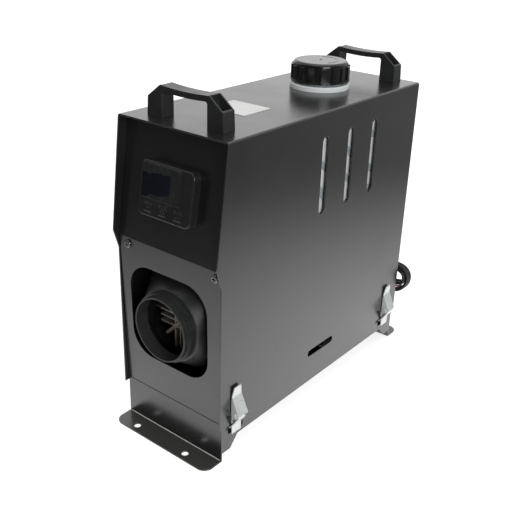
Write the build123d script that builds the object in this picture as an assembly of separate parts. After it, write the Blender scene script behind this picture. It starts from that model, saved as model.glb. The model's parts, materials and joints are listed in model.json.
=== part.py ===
from build123d import *
import os
from math import atan2, cos, pi, radians, sin, tan

# Diesel air heater in a narrow steel case: a tray with two feet, a heater core on a bracket, a fuel
# tank on a shelf above it and a cover over both, held down by four toggle latches.
# Millimetres. X runs across the case, the warm-air outlet faces -Y, Z is up from the floor. The
# origin lies on the floor under the middle of the feet.

# ---- case sheet metal ----
sheet = 1.5                     # steel sheet of tray, cover, front, back and shelf
leg_span = 364.0                # over the outer faces of the two leg plates
case_width = 150.0              # over the outer faces of the cover
case_height = 366.0             # floor to top of cover
wall_gap = 0.6                  # cover to the walls inside it, and seams between sheets
bend = 2.5                      # outer radius of the cover's long bends

foot_reach = 26.0               # foot, out from its leg plate
foot_corner = 12.0
foot_hole = 4.0                 # radius of a foot's screw holes
foot_hole_spacing = 77.0
foot_hole_shift = -5.0          # middle of a foot's screw holes, across the case
foot_hole_reach = 16.5          # screw holes, out from the leg plate
leg_height = 49.4               # top of the leg plates
tray_height = 24.5              # underside of the tray floor
wall_height = 60.0              # top of the tray's long walls
wall_notch = 15.0               # where a long wall is only as high as the leg plate
gusset_height = 10.5            # underside of a long wall beside its leg
gusset_foot = 15.0
gusset_run = 12.5

cover_low = 45.0                # lower edge of the cover
cover_lap_front = 5.0           # cover's front edge, out from the leg plate
cover_lap_back = 1.5
hood_step_drop = 16.0           # where the hood starts, below the front sheet's bend
hood_low_rise = 6.5             # the hood's most forward corner, above that bend
hood_reach = 12.0               # that corner, out from the leg plate
hood_round = 8.0
hood_set_back = 3.0             # cover's top front edge, in from the leg plate

slot_height = 90.0              # tank level slots, over the round ends
slot_width = 11.5
slot_drop = 72.0                # middle of the slots, below the top of the cover
slot_first = -18.0              # first slot along the case
slot_pitch = 50.5
slot_count = 3
vent_length = 53.0              # low slot in the cover's sides
vent_width = 8.7
vent_height = 67.7

# ---- front and rear sheets ----
front_bend_reach = 4.5          # bend between lower and upper front, out from the leg plate
front_lean = 9.3                # the upper front leans back, degrees
flange = 12.0                   # side flanges of the front and rear sheets
core_x = -3.0                   # middle of the heater core and what lines up with it
cutout_width = 114.0
cutout_height = 113.2
cutout_round = 30.0
cutout_rise = 3.9               # middle of the cutout, above the core's axis
screw_span = 126.0              # front sheet's two screws
screw_middle = 3.3              # middle between them, across the case
screw_drop = 7.5                # front sheet's screws, below its bend
screw_shank = 2.0
screw_head = 4.7
screw_head_height = 2.6
screw_length = 12.0
recess_width = 1.2
screw_play = 0.2
screw_round = 1.5
lead_hole = 5.0                 # controller's lead through the front sheet
inlet_hole = 3.0                # holes of the air inlet in the rear sheet
inlet_rings = 5
inlet_ring_pitch = 9.0

# ---- tank, shelf and filler ----
shelf_clear = 7.0               # underside of the shelf, over the heater core
shelf_gap = 0.2                 # shelf to the sheets it is fixed to
shelf_lip = 19.0
shelf_back = 160.0              # rear end of the shelf
strap_width = 24.0
strap_reach = 130.0             # straps, along the case from the middle
rivet = 2.0
rivet_head = 3.5
rivet_play = 0.03
rivet_height = 46.0
tank_width = 139.0
tank_back = 162.0
tank_length = 270.0
tank_drop = 14.0                # top of the tank, below the top of the cover
tank_wall = 3.0
tank_round = 12.0
neck_x = -1.2                   # filler neck across the case
neck_y = 74.8                   # and along it
neck_radius = 28.0
neck_rise = 25.0                # above the top of the cover
neck_play = 1.5                 # neck to the hole in the cover
thread_height = 1.2
thread_width = 1.4
thread_low = 2.0                # first thread ridge above the cap's lower edge
thread_pitch = 6.0
ring_radius = 35.7
ring_height = 6.0
ring_play = 0.3
ring_round = 1.6
cap_clear = 2.7                 # cap's lower edge, above the ring
cap_height = 22.9
cap_radius = 32.9               # at the bottom of the grooves
cap_grip = 2.1                  # ribs, out from the grooves
cap_lip = 35.5
cap_lip_height = 1.8
cap_ribs = 16
cap_rib_width = 5.6
cap_rib_turn = -4.4             # first rib, from the X direction
cap_ribs_drop = 5.1             # top of the ribs, below the top of the cap
cap_round = 4.2
cap_bore = 29.7
cap_gap = 0.3                   # neck to seal
seal_thickness = 2.0

# ---- handles and label ----
handle_front = -151.5           # middles of the two handles along the case
handle_back = 168.5
handle_half = 50.4              # at the shoulders
handle_splay = 1.2              # wider at the cover, at either end
handle_depth = 17.0
handle_foot = 19.8
handle_height = 33.0
handle_shoulder = 19.5
handle_chamfer = 17.5
handle_grip = 6.0
handle_sag = 1.5
handle_wall = 1.6
handle_floor = 8.0
handle_inner_round = 3.0
label_width = 52.0
label_depth = 44.0
label_x = -2.0
label_y = -74.0
label_thickness = 0.25

# ---- heater core ----
core_height = 146.0             # axis of the core
core_width = 115.0
core_depth = 122.0
core_front = -150.0
core_back = 128.0
core_round = 28.0
core_wall = 3.0
hood_front = -184.0             # front of the outlet hood
hood_width = 84.0               # across the front of the outlet hood
hood_edge = 3.0
duct_front = -198.0             # rim of the outlet
duct_radius = 37.5
duct_wall = 2.0
collar_radius = 40.0
collar_length = 7.5
lug_width = 13.0                # bayonet lug on the collar
lug_angle = 26.0
lug_rise = 1.5
duct_round = 0.8
bracket_front = -70.0
bracket_back = 45.0
bracket_half = 48.0
bracket_foot = 14.0
bolt_spread = 34.3              # bracket's bolts, from the middle of the core
bolt_size = 4.0                 # hexagon's corner radius
bolt_head = 3.0
exhaust_radius = 12.0
intake_radius = 12.5
pipe_low = 6.0
pipe_wall = 1.5
pipe_seat = 15.5                # length that a pipe or hose goes over
pipe_step = 0.8                 # shoulder above that
exhaust_y = -42.0
intake_y = -6.0
pipe_play = 1.5
fin = 2.2
fin_pitch = 7.5
slant_fin = 3.5
tube_radius = 32.0
tube_wall = 3.0
star_radius = 34.0
star_across = 29.5              # reach of the level fins
star_slant = 31.0               # reach of the slanting fins
star_shift = 2.8                # middle of the fins in the outlet, from the core's axis
star_drop = 1.0
hub_radius = 4.5
star_front = -169.0
burner_y = 0.0                  # joint of the heat exchanger and the burner
burner_front = -93.8
burner_radius = 24.0
burner_wall = 1.5
glow_y = -20.0
glow_radius = 3.0
glow_head_radius = 5.0
glow_head = 2.0
exhaust_port = 10.0
plate_radius = 50.0
plate_thickness = 4.0
blower_radius = 46.0
blower_length = 46.0
motor_radius = 22.0
motor_length = 40.0
motor_edge = 2.0
shaft_radius = 2.5
shaft_play = 0.05
burner_fan_radius = 34.0
burner_fan_length = 14.0
main_fan_radius = 47.0
main_fan_length = 22.0
fan_clear = 5.0
fan_blades = 11
fan_disc = 2.0
fan_hub = 7.5
fan_edge = 1.2                  # blade tips, in from the disc's rim
fan_blade = 1.6
grille_rim = 7.0
grille_bar = 2.4
grille_depth = 5.0
grille_rings = (44.0, 34.0, 24.0, 14.0)
unit_width = 58.0
unit_length = 80.0
unit_height = 10.5
unit_front = 12.0
seat_gap = 0.3

# ---- fuel line ----
fuel_height = 48.0
filter_x = -50.0
filter_radius = 11.0
filter_length = 42.0
filter_front = 84.0
filter_round = 2.0
clip_width = 10.0
clip_length = 8.0
pump_x = -14.0
pump_radius = 15.0
pump_length = 50.0
pump_front = 82.0
sleeve_thickness = 3.0
sleeve_length = 24.0
sleeve_foot = 14.0
sleeve_play = 0.1
pump_edge = 1.5
nipple_radius = 2.0
nipple_length = 10.0
hose_radius = 3.2
inlet_x = 36.0
inlet_y = 60.0
inlet_drop = 14.0
outlet_x = -46.0
outlet_y = 146.0
outlet_drop = 12.0

# ---- controller ----
panel_drop = 68.0               # middle of the controller, below the top of the cover
panel_width = 73.5
panel_tall = 57.5
panel_round = 7.5
panel_back_depth = 6.0
panel_face = 12.5
panel_wall = 2.0
panel_edge = 1.4
back_inset = 0.6
window_left = -34.0
window_right = 20.5
window_low = -9.5
window_high = 26.0
window_thickness = 0.8
window_round = 2.0
window_ledge = 1.5
window_play = 0.1
display_thickness = 1.6
board_thickness = 1.6
switch_size = 6.0
switch_play = 0.3               # key stem to the switch below it, past the key's travel
key_places = (-21.5, -1.0, 20.0)
key_row = -19.5
key_width = 11.0
key_tall = 9.0
key_rise = 0.3
key_rim = 1.0
key_play = 0.25
key_travel = 0.8
key_round = 1.2
stem_radius = 1.5
stem_length = 2.2

# ---- toggle latches ----
latch_places = (-162.0, 155.5)  # along the case
lever_width = 15.5
lever_sheet = 1.2
lever_round = 4.0               # bend in the lever
lever_top = 93.0
lever_bend = 81.0
lever_low = 59.7
lever_reach_top = 3.4           # outer face of the lever, out from the cover
lever_reach_bend = 1.9
lever_reach_low = 12.2
tip_width = 11.5
tip_slant = 0.6
tip_corner = 1.5
pivot_reach = 5.6
pivot_height = 59.5
pivot_radius = 1.75
pivot_play = 0.06
pivot_gap = 0.15
pivot_head = 0.8
cheek_radius = 4.9
cheek_inset = 0.2               # cheek behind the lever's web
cheek_toe_in = 1.6
cheek_toe_drop = 2.6
cheek_drop = 4.0                # cheek's top edge, below the lever's bend
cheek_gap = 0.8                 # cheek to the cover
claw_pin_reach = 4.0
claw_pin_height = 66.3
claw_pin_radius = 1.4
claw_sheet = 1.4
claw_width = 9.2
notch_gap = 0.5                 # lever's notch beside the claw that swings through it
notch_top = 74.5
claw_low_width = 15.0
claw_neck_low = 54.6            # where the claw widens
claw_curl_gap = 0.15            # claw's curl round the pin
claw_knee_gap = 1.0             # claw past the lever's pivot
claw_shin_height = 54.0
claw_shin_in = 0.6
claw_ankle_height = 44.2
claw_ankle_reach = 1.8
claw_hook_reach = -1.2          # where the claw turns in, out from the cover
claw_hook_past = 2.2            # claw's end, past the tray's wall
claw_bends = (5.0, 5.0, 7.0, 2.5)
claw_lip_low = 33.5             # claw's lip, down over the keeper slot
tongue_low = 60.2               # claw's tongue, which fills the lever's notch
tongue_heel = 3.0               # height over which the tongue stands on the claw
tongue_heel_in = 1.0
ear_gap = 0.35
ear_radius = 3.4
latch_base_low = 46.0
latch_base_high = 62.4
base_rivet_low = 3.0            # rivets, in from the ends of the latch base
base_rivet_high = 7.5
base_rivet_head = 0.8
keeper_length = 25.0
keeper_low = 31.5
keeper_high = 42.0
keeper_shift = 3.5
claw_lift = 3.4                 # claw's end above the middle of the keeper slot

# ---- power cord ----
cord = 5.2
gland_x = -44.0
gland_height = 105.5
gland_flange = 9.0
gland_flange_thickness = 3.0
gland_radius = 7.5
gland_stem = 6.5
gland_reach = 18.5              # the cord's exit, out from the rear sheet
boot_length = 30.0
boot_radius = 6.0
boot_end = 3.6
hank_near = 195.5
hank_far = 206.5
hank_high = 109.2
hank_low = 61.0
hank_right = 86.5
hank_left = -10.0
hank_entry = 10.0               # where the lead goes into the hank
hank_entry_low = 99.5
tie_x = 44.0
tie_width = 4.6
tie_thickness = 1.2
tie_low = 97.6
tie_base = 12.0
plug_width = 14.0
plug_depth = 9.0
plug_tall = 25.0
plug_seat = 2.0                 # the cord's end, into the plug

# ---- worked out ----
leg = leg_span / 2
half = case_width / 2
inner_half = half - sheet
base_half = inner_half - wall_gap
wall_half = base_half - sheet
foot_edge = leg + foot_reach
cover_front = -leg - cover_lap_front
cover_back = leg + cover_lap_back
floor_top = tray_height + sheet
seam = leg_height + wall_gap
lean = radians(front_lean)
shelf_height = core_height + core_depth / 2 + shelf_clear
shelf_top = shelf_height + sheet
front_bend_height = shelf_top + shelf_lip
screw_height = front_bend_height - screw_drop
cutout_middle_height = core_height + cutout_rise
hood_step_height = front_bend_height - hood_step_drop
hood_low_height = front_bend_height + hood_low_rise
front_bend_y = -leg - front_bend_reach
front_top = case_height - sheet - 2 * seat_gap
front_top_y = front_bend_y + (front_top - front_bend_height) * tan(lean)
shelf_half = wall_half - shelf_gap
tank_front = tank_back - tank_length
tank_top = case_height - tank_drop
tank_middle_y = (tank_back + tank_front) / 2
neck_top = case_height + neck_rise
cap_low = case_height + ring_height + cap_clear
cap_top = cap_low + cap_height
cap_ribs_top = cap_top - cap_ribs_drop
cap_ceiling = neck_top + cap_gap + seal_thickness
slot_middle_height = case_height - slot_drop
panel_height = case_height - panel_drop
core_low = core_height - core_depth / 2
core_inner = core_depth / 2 - core_wall
pivot_x = half + pivot_reach
claw_pin_x = half + claw_pin_reach


# ---- helpers ----
def block(x0, x1, y0, y1, z0, z1):
    return Pos((x0 + x1) / 2, (y0 + y1) / 2, (z0 + z1) / 2) * Box(x1 - x0, y1 - y0, z1 - z0)


def rod_x(radius, x0, x1, y, z):
    return Pos((x0 + x1) / 2, y, z) * Rot(0, 90, 0) * Cylinder(radius, x1 - x0)


def rod_y(radius, y0, y1, x, z):
    return Pos(x, (y0 + y1) / 2, z) * Rot(90, 0, 0) * Cylinder(radius, y1 - y0)


def rod_z(radius, z0, z1, x, y):
    return Pos(x, y, (z0 + z1) / 2) * Cylinder(radius, z1 - z0)


def outline(points, corners=()):
    """A face through the points; corners holds (point number, radius) pairs."""
    face = make_face(Polyline(*points, close=True))
    for number, radius in corners:
        place = Vector(*points[number])
        near = [v for v in face.vertices() if (Vector(v.X, v.Y, 0) - place).length < 0.01]
        face = fillet(near, radius)
    return face


def along_x(face, x0, x1):
    """Extrude a face drawn in (y, z) from x0 to x1."""
    return extrude(Plane(origin=(x0, 0, 0), x_dir=(0, 1, 0), z_dir=(1, 0, 0)) * face, amount=x1 - x0)


def along_y(face, y0, y1):
    """Extrude a face drawn in (x, z) from y0 to y1."""
    return extrude(Plane(origin=(0, y1, 0), x_dir=(1, 0, 0), z_dir=(0, -1, 0)) * face, amount=y1 - y0)


def along_z(face, z0, z1):
    """Extrude a face drawn in (x, y) from z0 to z1."""
    return extrude(Plane.XY.offset(z0) * face, amount=z1 - z0)


def slot_face(length, width, a, b):
    return Pos(a, b) * SlotOverall(length, width)


def pan_screw(place):
    """A pan-head screw with a cross recess; its head faces +Z of the place."""
    shank = Pos(0, 0, -screw_length / 2) * Cylinder(screw_shank, screw_length)
    head = Pos(0, 0, screw_head_height / 2) * Cylinder(screw_head, screw_head_height)
    head = fillet(head.edges().sort_by(Axis.Z)[-1], screw_round)
    recess = Box(screw_head, recess_width, screw_head_height)
    recess += Rot(0, 0, 90) * recess
    return place * (shank + head - Pos(0, 0, screw_head_height) * recess)


def mirror_x(shape):
    return mirror(shape, about=Plane.YZ)


def front_face_y(z):
    """Outer face of the front sheet at height z."""
    if z > front_bend_height:
        return front_bend_y + (z - front_bend_height) * tan(lean)
    return -leg - front_bend_reach * (z - seam) / (front_bend_height - seam)


# ---- tray with its two feet ----
def foot(side):
    face = make_face(Polyline((-base_half, 0), (base_half, 0), (base_half, -foot_reach),
                              (-base_half, -foot_reach), close=True))
    face = fillet(face.vertices().sort_by(Axis.Y)[:2], foot_corner)
    plate = extrude(face, amount=sheet)
    for x in (-foot_hole_spacing / 2, foot_hole_spacing / 2):
        plate -= rod_z(foot_hole, -1, sheet + 1, x - side * foot_hole_shift, -foot_hole_reach)
    turn = Rot(0, 0, 180) if side > 0 else Rot(0, 0, 0)
    return Pos(0, side * leg, 0) * turn * plate


def base_tray():
    low = [(-leg, gusset_height), (-leg + gusset_foot, gusset_height),
           (-leg + gusset_foot + gusset_run, tray_height)]
    high = [(leg, leg_height), (leg - wall_notch, leg_height), (leg - wall_notch, wall_height)]
    points = low + [(-y, z) for y, z in reversed(low)] + high + [(-y, z) for y, z in reversed(high)]
    wall = along_x(outline(points), wall_half, base_half)
    for y in latch_places:
        middle = y + keeper_shift
        wall -= block(wall_half - 1, base_half + 1, middle - keeper_length / 2,
                      middle + keeper_length / 2, keeper_low, keeper_high)
    for y in (-strap_reach, strap_reach):
        wall -= rod_x(rivet, wall_half - 1, base_half + 1, y, rivet_height)
    tray = block(-wall_half, wall_half, -leg, leg, tray_height, floor_top) + wall + mirror_x(wall)
    for side in (-1, 1):
        y0, y1 = sorted((side * leg, side * (leg - sheet)))
        leg_plate = block(-base_half, base_half, y0, y1, 0, leg_height)
        leg_plate = leg_plate + foot(side)
        inside = [e for e in leg_plate.edges() if abs(e.center().Z) < 0.01
                  and abs(e.center().Y - side * (leg - sheet)) < 0.01]
        tray += fillet(inside, sheet - 0.2)
    for y, radius in ((exhaust_y, exhaust_radius), (intake_y, intake_radius)):
        tray -= rod_z(radius + pipe_step + pipe_play, tray_height - 1, floor_top + 1, core_x, y)
    return tray


# ---- cover ----
def cover_profile():
    points = [(cover_front, cover_low), (cover_front, hood_step_height),
              (-leg - hood_reach, hood_low_height), (-leg + hood_set_back, case_height + 1),
              (cover_back, case_height + 1), (cover_back, cover_low)]
    return outline(points, [(2, hood_round)])


def cover_shell():
    outer = Rectangle(case_width, case_height, align=(Align.CENTER, Align.MIN))
    outer = fillet(outer.vertices().sort_by(Axis.Y)[-2:], bend)
    inner = Rectangle(2 * inner_half, case_height - sheet, align=(Align.CENTER, Align.MIN))
    inner = fillet(inner.vertices().sort_by(Axis.Y)[-2:], bend - sheet)
    shell = along_y(outer, -leg - 2 * hood_reach, cover_back)
    shell -= along_y(inner, -leg - 3 * hood_reach, cover_back + 1)
    shell = shell & along_x(cover_profile(), -half, half)
    shell -= rod_z(neck_radius + neck_play, case_height - 2 * sheet, case_height + 1, neck_x, neck_y)
    upright = Rot(0, 0, 90) * SlotOverall(slot_height, slot_width)
    for number in range(slot_count):
        y = slot_first + number * slot_pitch
        shell -= along_x(Pos(y, slot_middle_height) * upright, -half - 1, half + 1)
    shell -= along_x(slot_face(vent_length, vent_width, 0, vent_height), -half - 1, half + 1)
    for y in (handle_front, handle_back):
        for x in (-handle_screw_x(), handle_screw_x()):
            shell -= rod_z(screw_shank + screw_play, case_height - 2 * sheet, case_height + 1, x, y)
    for y in latch_places:
        for z in latch_rivet_heights():
            shell -= rod_x(screw_shank / 2, -half - 1, half + 1, y, z)
    return shell


# ---- front sheet ----
def front_sheet():
    outer = [(-leg, seam), (front_bend_y, front_bend_height), (front_top_y, front_top)]
    inner = [(y + sheet, z) for y, z in reversed(outer)]
    face = along_x(outline(outer + inner, [(1, sheet), (4, sheet / 2)]), -base_half, base_half)
    back = [(y + flange, z) for y, z in reversed(outer)]
    side = along_x(outline(outer + back, [(1, sheet)]), base_half - sheet, base_half)
    hole = Pos(core_x, cutout_middle_height) * RectangleRounded(cutout_width, cutout_height, cutout_round)
    panel = face + side + mirror_x(side)
    panel -= along_y(hole, -leg - 2 * hood_reach, -leg + flange / 2)
    for x in screw_places():
        panel -= rod_y(screw_shank + screw_play, -leg - flange, -leg + flange, x, screw_height)
    panel -= controller_place() * Cylinder(lead_hole, 6 * sheet)
    return panel


def screw_places():
    return screw_middle - screw_span / 2, screw_middle + screw_span / 2


def front_screws():
    tilt = atan2(front_bend_reach, front_bend_height - seam)
    screws = []
    for x in screw_places():
        place = Plane(origin=(x, front_face_y(screw_height), screw_height),
                      z_dir=(0, -cos(tilt), -sin(tilt))).location
        screws.append(pan_screw(place))
    return screws


# ---- rear sheet with the air inlet ----
def inlet_holes():
    places = [(0, 0)]
    for ring in range(1, inlet_rings + 1):
        for number in range(6 * ring):
            angle = 2 * pi * number / (6 * ring)
            places.append((ring * inlet_ring_pitch * cos(angle), ring * inlet_ring_pitch * sin(angle)))
    return places


def rear_sheet():
    face = block(-base_half, base_half, leg - sheet, leg, seam, front_top)
    side = block(base_half - sheet, base_half, leg - flange, leg, seam + wall_gap, front_top)
    cut = block(base_half - 2 * sheet, half, leg - flange - 1, leg - sheet - 0.01, 0, wall_height + wall_gap)
    panel = face + (side - cut) + mirror_x(side - cut)
    face = Sketch() + [Pos(core_x + a, core_height + b) * Circle(inlet_hole) for a, b in inlet_holes()]
    panel -= along_y(face, leg - 2 * sheet, leg + 1)
    panel -= rod_y(gland_stem, leg - 2 * sheet, leg + 1, gland_x, gland_height)
    return panel


# ---- shelf under the tank ----
def tank_shelf():
    lip_y = front_face_y(screw_height) + sheet + seat_gap
    shelf = block(-shelf_half, shelf_half, lip_y, shelf_back, shelf_height, shelf_top)
    shelf += block(-shelf_half, shelf_half, lip_y, lip_y + sheet, shelf_height, shelf_top + shelf_lip)
    for y in (-strap_reach, strap_reach):
        strap = block(shelf_half - sheet, shelf_half, y - strap_width / 2, y + strap_width / 2,
                      floor_top, shelf_top)
        strap -= rod_x(rivet, wall_half - 2 * sheet, half, y, rivet_height)
        shelf += strap + mirror_x(strap)
    for x in screw_places():
        shelf -= rod_y(screw_shank + screw_play, lip_y - 1, lip_y + sheet + 1, x, screw_height)
    shelf -= rod_z(nipple_radius + 2 * pipe_play, shelf_height - 1, shelf_top + 1, outlet_x, outlet_y)
    return shelf


def shelf_rivets():
    rivets = []
    for side in (-1, 1):
        for y in (-strap_reach, strap_reach):
            inner = shelf_half - sheet
            body = rod_x(rivet - rivet_play, inner, base_half, y, rivet_height)
            body += rod_x(rivet_head, inner - 1, inner, y, rivet_height)
            rivets.append(body if side > 0 else mirror_x(body))
    return rivets


# ---- fuel tank with its neck ----
def fuel_tank():
    def tub(shrink):
        body = Pos(0, tank_middle_y, (shelf_top + tank_top) / 2) * Box(
            tank_width - 2 * shrink, tank_length - 2 * shrink, tank_top - shelf_top - 2 * shrink)
        body = fillet(body.edges().filter_by(Axis.Z), tank_round - shrink)
        return fillet(body.edges().group_by(Axis.Z)[-1] + body.edges().group_by(Axis.Z)[0],
                      tank_round / 2 - shrink / 2)

    tank = tub(0) + rod_z(neck_radius, tank_top - tank_wall, neck_top, neck_x, neck_y)
    for turn in (0, 1):
        z = cap_low + thread_low + turn * thread_pitch
        tank += rod_z(neck_radius + thread_height, z, z + thread_width, neck_x, neck_y)
    tank -= tub(tank_wall)
    tank -= rod_z(neck_radius - tank_wall, tank_top - 2 * tank_wall, neck_top + 1, neck_x, neck_y)
    return tank


def filler_ring():
    low = case_height
    ring = rod_z(ring_radius, low, low + ring_height, neck_x, neck_y)
    ring = fillet(ring.edges().group_by(Axis.Z)[-1], ring_round)
    return ring - rod_z(neck_radius + ring_play, low - 1, low + ring_height + 1, neck_x, neck_y)


def filler_cap():
    body = rod_z(cap_radius, cap_low, cap_top, neck_x, neck_y)
    body = fillet(body.edges().group_by(Axis.Z)[-1], cap_round)
    for number in range(cap_ribs):
        reach = cap_radius + cap_grip
        rib = Pos(reach / 2, 0, (cap_low + cap_ribs_top) / 2) * Box(
            reach, cap_rib_width, cap_ribs_top - cap_low)
        body += Pos(neck_x, neck_y, 0) * Rot(0, 0, cap_rib_turn + 360 * number / cap_ribs) * rib
    body += rod_z(cap_lip, cap_low, cap_low + cap_lip_height, neck_x, neck_y)
    return body - rod_z(cap_bore, cap_low - 1, cap_ceiling, neck_x, neck_y)


def cap_seal():
    low = neck_top + cap_gap
    seal = rod_z(neck_radius + thread_height, low, cap_ceiling, neck_x, neck_y)
    return seal - rod_z(neck_radius - 2 * tank_wall, low - 1, cap_ceiling + 1, neck_x, neck_y)


# ---- carrying handles ----
def handle_screw_x():
    return handle_half - handle_foot / 2


def handle(y):
    h, foot_in = handle_height, handle_half - handle_foot
    under = h - handle_grip
    base = handle_half + handle_splay
    left = Polyline((-foot_in, 0), (-base, 0), (-handle_half, handle_shoulder),
                    (-handle_half + handle_chamfer, h))
    top = ThreePointArc((-handle_half + handle_chamfer, h), (0, h - handle_sag),
                        (handle_half - handle_chamfer, h))
    right = Polyline((handle_half - handle_chamfer, h), (handle_half, handle_shoulder),
                     (base, 0), (foot_in, 0), (foot_in, under))
    below = ThreePointArc((foot_in, under), (0, under - handle_sag), (-foot_in, under))
    close = Line((-foot_in, under), (-foot_in, 0))
    face = make_face(Wire(left.edges() + top.edges() + right.edges() + below.edges() + close.edges()))
    inner_corners = [v for v in face.vertices() if abs(v.Y - under) < 0.01]
    face = fillet(inner_corners, handle_inner_round)
    body = along_y(Pos(0, case_height) * face, y - handle_depth / 2, y + handle_depth / 2)
    pocket = Box(handle_foot - 2 * handle_wall, handle_depth - 2 * handle_wall, handle_height)
    for side in (-1, 1):
        x = side * handle_screw_x()
        body -= Pos(x, y, case_height + handle_floor + handle_height / 2) * pocket
        body -= rod_z(screw_shank + screw_play, case_height - 1, case_height + handle_floor + 1, x, y)
    return body


def handle_screws():
    screws = []
    for y in (handle_front, handle_back):
        for x in (-handle_screw_x(), handle_screw_x()):
            screws.append(pan_screw(Location((x, y, case_height + handle_floor))))
    return screws


def blank_label():
    z = case_height
    return block(label_x - label_width / 2, label_x + label_width / 2, label_y - label_depth / 2,
                 label_y + label_depth / 2, z, z + label_thickness)


# ---- heater core: casing, hood and outlet ----
def core_face(shrink):
    return Pos(core_x, core_height) * RectangleRounded(
        core_width - 2 * shrink, core_depth - 2 * shrink, core_round - shrink)


def core_casing(upper):
    tube = along_y(core_face(0), core_front, core_back) - along_y(
        core_face(core_wall), core_front - 1, core_back + 1)
    for y, radius in ((exhaust_y, exhaust_radius), (intake_y, intake_radius)):
        tube -= rod_z(radius + pipe_step + seat_gap, core_low - 1, core_low + core_wall + 1, core_x, y)
    tube -= rod_z(nipple_radius + seat_gap, core_low - 1, core_low + core_wall + 1, inlet_x, inlet_y)
    z0, z1 = (core_height, core_height + core_depth) if upper else (core_height - core_depth, core_height)
    return tube & block(-case_width, case_width, -leg, leg, z0, z1)


def outlet_hood():
    def cone(shrink):
        front = Plane(origin=(core_x, hood_front, core_height), x_dir=(1, 0, 0), z_dir=(0, -1, 0))
        back = Plane(origin=(core_x, core_front, core_height), x_dir=(1, 0, 0), z_dir=(0, -1, 0))
        return loft([back * RectangleRounded(core_width - 2 * shrink, core_depth - 2 * shrink,
                                             core_round - shrink),
                     front * RectangleRounded(hood_width - 2 * shrink, hood_width - 2 * shrink,
                                              hood_width / 2 - shrink - 0.5)])

    hood = cone(0)
    hood = fillet(hood.edges().sort_by(Axis.Y)[0:8], hood_edge)
    hood -= cone(core_wall) & block(-half, half, hood_front + core_wall, 0, 0, case_height)
    return hood - rod_y(duct_radius - duct_wall, hood_front - 1, core_front, core_x, core_height)


def outlet_duct():
    front, back = duct_front, hood_front
    duct = rod_y(duct_radius, front, back, core_x, core_height)
    duct += rod_y(collar_radius, back - collar_length, back, core_x, core_height)
    duct = fillet(duct.edges().filter_by(GeomType.CIRCLE).sort_by(Axis.Y)[0], duct_round)
    lug = Pos(collar_radius, 0, 0) * Box(2 * lug_rise, collar_length, lug_width)
    lug = Pos(core_x, back - collar_length / 2, core_height) * Rot(0, -lug_angle, 0) * lug
    duct += lug
    return duct - rod_y(duct_radius - duct_wall, front - 1, back + 1, core_x, core_height)


# ---- heater core: what burns and exchanges ----
def heat_exchanger():
    back = burner_y - plate_thickness
    middle = (core_front + back) / 2
    tube = rod_y(tube_radius, core_front, back, core_x, core_height)
    hollow = rod_y(tube_radius - tube_wall, core_front + tube_wall, burner_y + 1, core_x, core_height)
    reach_x = core_width / 2 - core_wall - seat_gap
    reach_z = core_inner - seat_gap
    fins = []
    for number in (-1, 0, 1):
        shift = number * fin_pitch
        fins.append(block(core_x - reach_x, core_x + reach_x, core_front, back,
                          core_height + shift - fin / 2, core_height + shift + fin / 2))
        fins.append(block(core_x + shift - fin / 2, core_x + shift + fin / 2, core_front, back,
                          core_height - reach_z, core_height + reach_z))
    for angle in (45, 135):
        fins.append(Pos(core_x, middle, core_height) * Rot(0, angle, 0) * Box(
            2 * reach_x, back - core_front, fin))
    plate = rod_y(plate_radius, back, burner_y, core_x, core_height)
    port = rod_z(exhaust_port, core_low + core_wall, core_height - tube_radius + 1, core_x, exhaust_y)
    return tube + fins + star_fins() + plate + port - hollow


def star_fins():
    """Fins across the front of the heat exchanger, where the outlet shows them."""
    length = core_front - star_front
    front = Pos(core_x + star_shift, (star_front + core_front) / 2, core_height - star_drop)
    star = []
    for angle, reach in ((0, star_across), (90, star_radius)):
        for number in (-1, 0, 1):
            place = front * Rot(0, angle, 0) * Pos(0, 0, number * fin_pitch)
            star.append(place * Box(2 * reach, length, fin))
    for angle in (45, 135):
        star.append(front * Rot(0, angle, 0) * Box(2 * star_slant, length, slant_fin))
    return star


def burner_tube():
    back = burner_y + plate_thickness
    tube = rod_y(burner_radius, burner_front, back, core_x, core_height)
    tube += rod_y(plate_radius, burner_y, back, core_x, core_height)
    return tube - rod_y(burner_radius - burner_wall, burner_front + burner_wall, back + 1, core_x,
                        core_height)


def glow_plug():
    low = core_height + burner_radius + seat_gap
    high = core_height + tube_radius - tube_wall - seat_gap
    return rod_z(glow_radius, low, high, core_x, glow_y) + rod_z(
        glow_head_radius, low, low + glow_head, core_x, glow_y)


def blower_front():
    return burner_y + plate_thickness


def blower_back():
    return blower_front() + blower_length


def motor_back():
    return blower_back() + core_wall + motor_length


def blower_housing():
    front, back = blower_front(), blower_back()
    cup = rod_y(blower_radius, front, back, core_x, core_height)
    return cup - rod_y(blower_radius - core_wall, front + core_wall, back + 1, core_x, core_height)


def motor():
    """Motor with the round flange that closes the blower housing."""
    front, back = blower_back(), motor_back()
    body = rod_y(motor_radius, front, back, core_x, core_height)
    body = chamfer(body.edges().filter_by(GeomType.CIRCLE).sort_by(Axis.Y)[-1], motor_edge)
    body += rod_y(blower_radius, front, front + core_wall, core_x, core_height)
    return body - rod_y(shaft_radius + shaft_play, front - 1, back + 1, core_x, core_height)


def fan_wheel(radius, front, length, blades):
    back = front + length
    wheel = rod_y(radius, back - fan_disc, back, core_x, core_height)
    wheel += rod_y(fan_hub, front, back, core_x, core_height)
    inner, outer = fan_hub - fan_edge, radius - fan_edge
    blade = Pos((inner + outer) / 2, 0, 0) * Box(outer - inner, length, fan_blade)
    for number in range(blades):
        wheel += Pos(core_x, (front + back) / 2, core_height) * Rot(0, 360 * number / blades, 0) * blade
    return wheel - rod_y(shaft_radius, front - 1, back + 1, core_x, core_height)


def burner_fan():
    back = blower_back() - fan_clear
    return fan_wheel(burner_fan_radius, back - burner_fan_length, burner_fan_length, fan_blades)


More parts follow.
